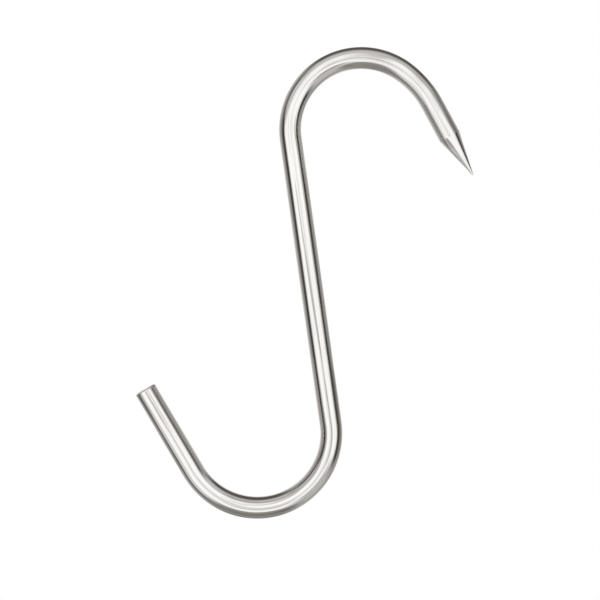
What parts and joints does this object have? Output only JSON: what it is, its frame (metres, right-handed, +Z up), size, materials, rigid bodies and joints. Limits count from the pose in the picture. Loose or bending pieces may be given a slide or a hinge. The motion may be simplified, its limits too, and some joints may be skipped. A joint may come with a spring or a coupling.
{
  "type": "meat hook",
  "caption": "S-shaped meat hook bent from round stainless bar: the plain end hangs over a rail and the other end is ground to a sharp point.",
  "frame": {"origin": "inside of the rail bend, where the rail bears, on the line through the centres of both bends", "axes": "+Z up along the line of pull, from the load bend to the rail bend; the bar lies in the XZ plane, with its plain end towards +X and its point towards -X; Y runs across the bar"},
  "size_m": [0.0879, 0.008, 0.1749],
  "materials": {
    "stainless_bar": "drawn stainless bar polished to a satin gloss, with fine streaks along the bar, a cone ground round its own axis, and a sawn end face"
  },
  "bodies": {
    "root": {"hook_bar": "stainless_bar"}
  },
  "joints": []
}
